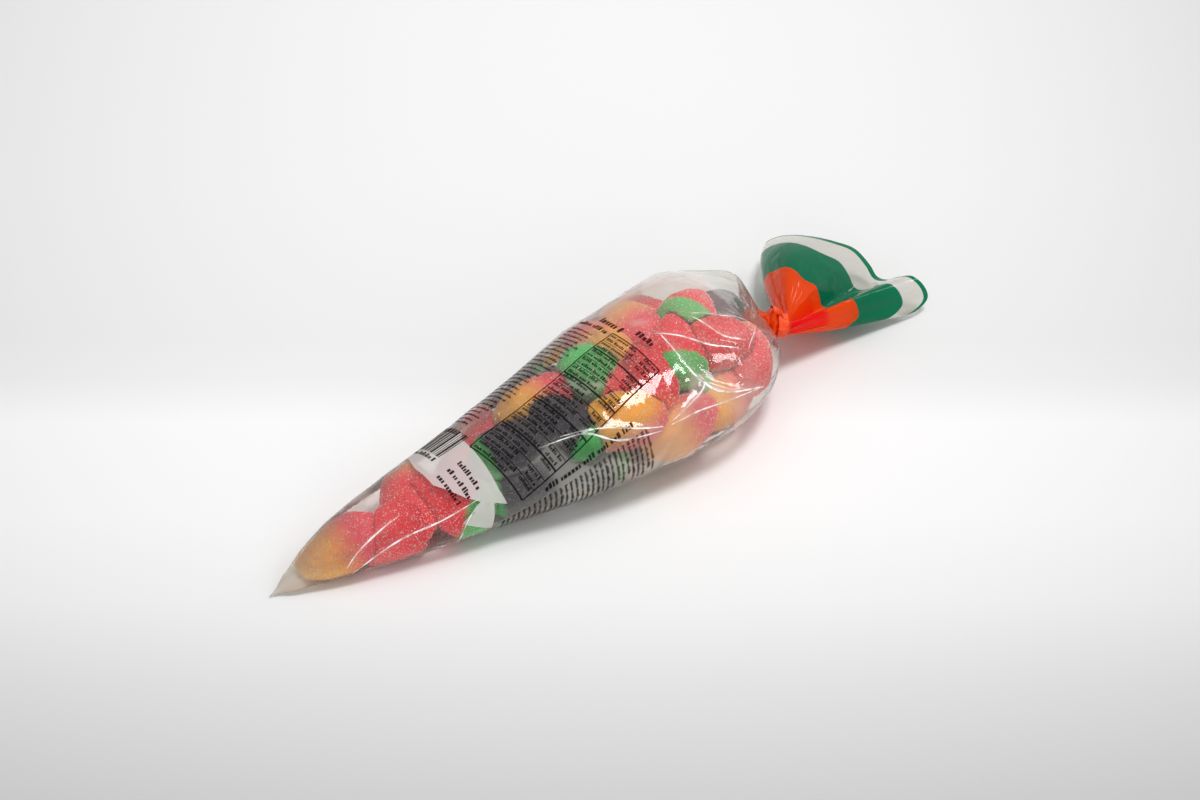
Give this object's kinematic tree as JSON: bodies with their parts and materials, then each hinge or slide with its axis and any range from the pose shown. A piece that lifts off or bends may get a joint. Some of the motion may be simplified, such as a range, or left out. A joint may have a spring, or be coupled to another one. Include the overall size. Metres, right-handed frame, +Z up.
{
  "type": "candy cone",
  "caption": "Clear film cone bag full of sugared fruit gummies, tied at the neck with a wire tie under a flared orange and green skirt, lying on its side.",
  "frame": {"origin": "middle of the footprint's bounding box, on the surface the pack lies on", "axes": "+X from the pointed tip towards the flared skirt, +Z up"},
  "size_m": [0.2734, 0.0856, 0.0425],
  "materials": {
    "film": "clear gloss film, slightly hazy, printed orange and green on the skirt",
    "tie": "satin ribbon over a wire",
    "gummy_strawberry": "sugared gel with a green leafy end",
    "gummy_peach": "sugared gel with a pink blush",
    "gummy_grape": "sugared gel with a green leafy end"
  },
  "bodies": {
    "root": {"film_bag": "film", "neck_tie": "tie", "gummy_01": "gummy_peach", "gummy_02": "gummy_peach", "gummy_03": "gummy_strawberry", "gummy_04": "gummy_strawberry", "gummy_05": "gummy_grape", "gummy_06": "gummy_strawberry", "gummy_07": "gummy_peach", "gummy_08": "gummy_strawberry", "gummy_09": "gummy_grape", "gummy_10": "gummy_peach", "gummy_11": "gummy_grape", "gummy_12": "gummy_grape", "gummy_13": "gummy_strawberry", "gummy_14": "gummy_peach", "gummy_15": "gummy_peach", "gummy_16": "gummy_peach", "gummy_17": "gummy_peach", "gummy_18": "gummy_peach", "gummy_19": "gummy_grape", "gummy_20": "gummy_grape", "gummy_21": "gummy_strawberry", "gummy_22": "gummy_peach", "gummy_23": "gummy_peach", "gummy_24": "gummy_grape", "gummy_25": "gummy_strawberry", "gummy_26": "gummy_peach", "gummy_27": "gummy_strawberry", "gummy_28": "gummy_grape", "gummy_29": "gummy_peach", "gummy_30": "gummy_strawberry", "gummy_31": "gummy_peach"}
  },
  "joints": []
}
